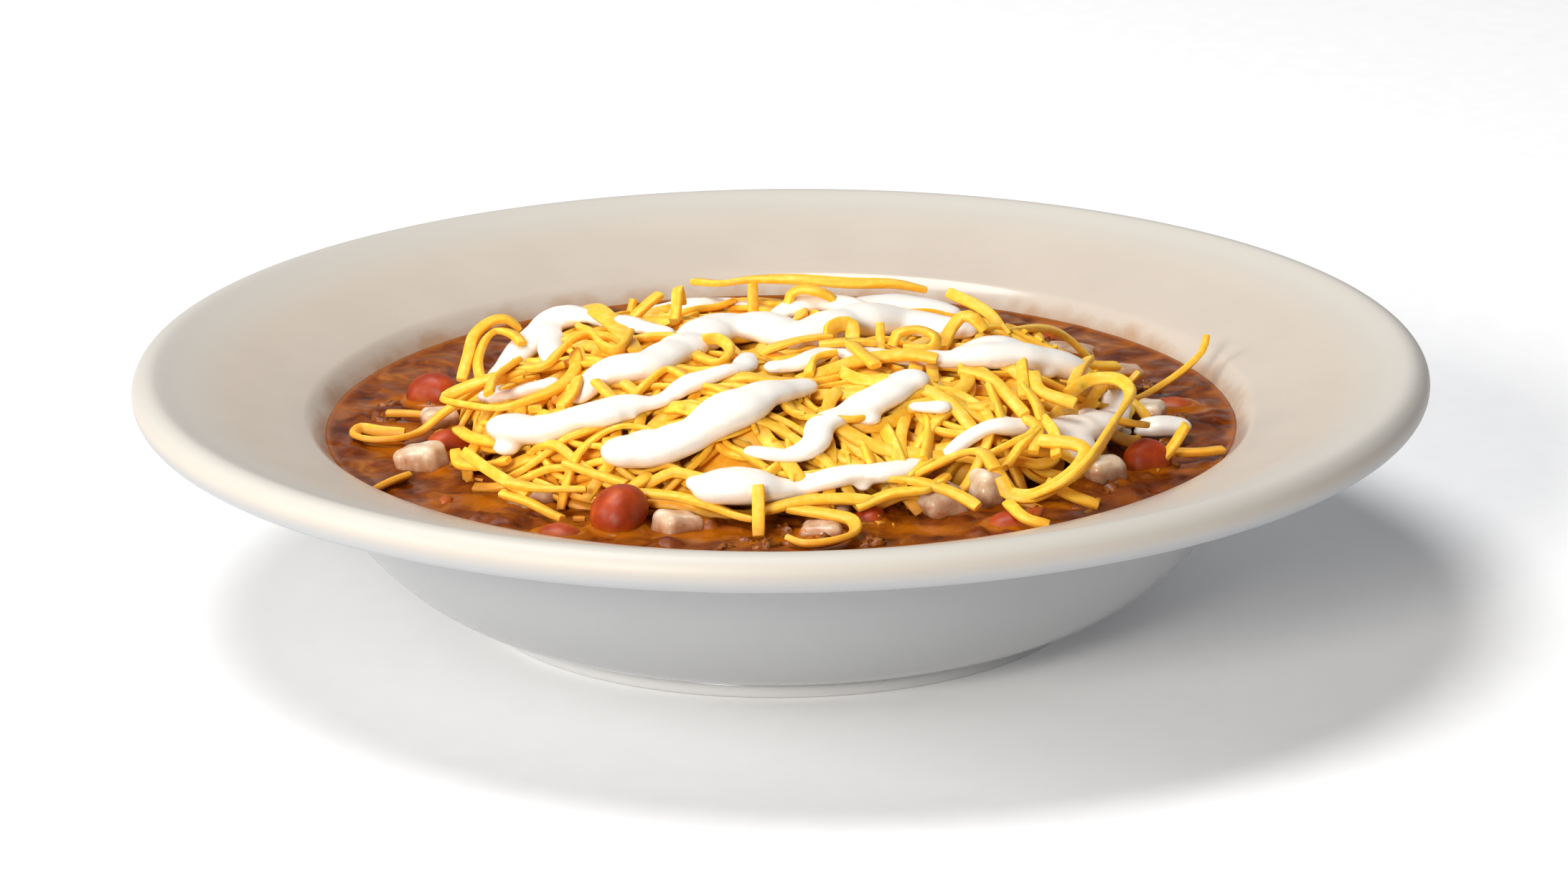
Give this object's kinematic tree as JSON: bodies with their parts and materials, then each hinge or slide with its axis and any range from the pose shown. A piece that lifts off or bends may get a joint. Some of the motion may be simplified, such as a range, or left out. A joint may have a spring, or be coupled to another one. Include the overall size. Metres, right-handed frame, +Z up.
{
  "type": "chili con carne",
  "caption": "Chili con carne in a white rim soup bowl, with diced onion and kidney beans at the edge of a heap of grated cheese laced with ribbons of sour cream.",
  "frame": {"origin": "on the bowl's axis, on the plane the foot ring stands on", "axes": "+Z up along the bowl's axis, -Y towards the front of the served dish, +X to its right"},
  "size_m": [0.235, 0.235, 0.0552],
  "materials": {
    "glazed_ware": "gloss",
    "chili": "satin",
    "grated_cheese": "satin",
    "sour_cream": "satin",
    "bean_skin": "gloss",
    "onion": "satin"
  },
  "bodies": {
    "root": {"bowl": "glazed_ware", "chili": "chili", "cheese": "grated_cheese", "sour_cream_1": "sour_cream", "sour_cream_2": "sour_cream", "sour_cream_3": "sour_cream", "sour_cream_4": "sour_cream", "sour_cream_5": "sour_cream", "sour_cream_6": "sour_cream", "sour_cream_7": "sour_cream", "sour_cream_8": "sour_cream", "sour_cream_9": "sour_cream", "sour_cream_10": "sour_cream", "sour_cream_11": "sour_cream", "bean_1": "bean_skin", "bean_2": "bean_skin", "bean_3": "bean_skin", "bean_4": "bean_skin", "bean_5": "bean_skin", "bean_6": "bean_skin", "bean_7": "bean_skin", "bean_8": "bean_skin", "bean_9": "bean_skin", "bean_10": "bean_skin", "onion_1": "onion", "onion_2": "onion", "onion_3": "onion", "onion_4": "onion", "onion_5": "onion", "onion_6": "onion", "onion_7": "onion", "onion_8": "onion", "onion_9": "onion", "onion_10": "onion", "onion_11": "onion", "onion_12": "onion", "onion_13": "onion", "onion_14": "onion"}
  },
  "joints": []
}
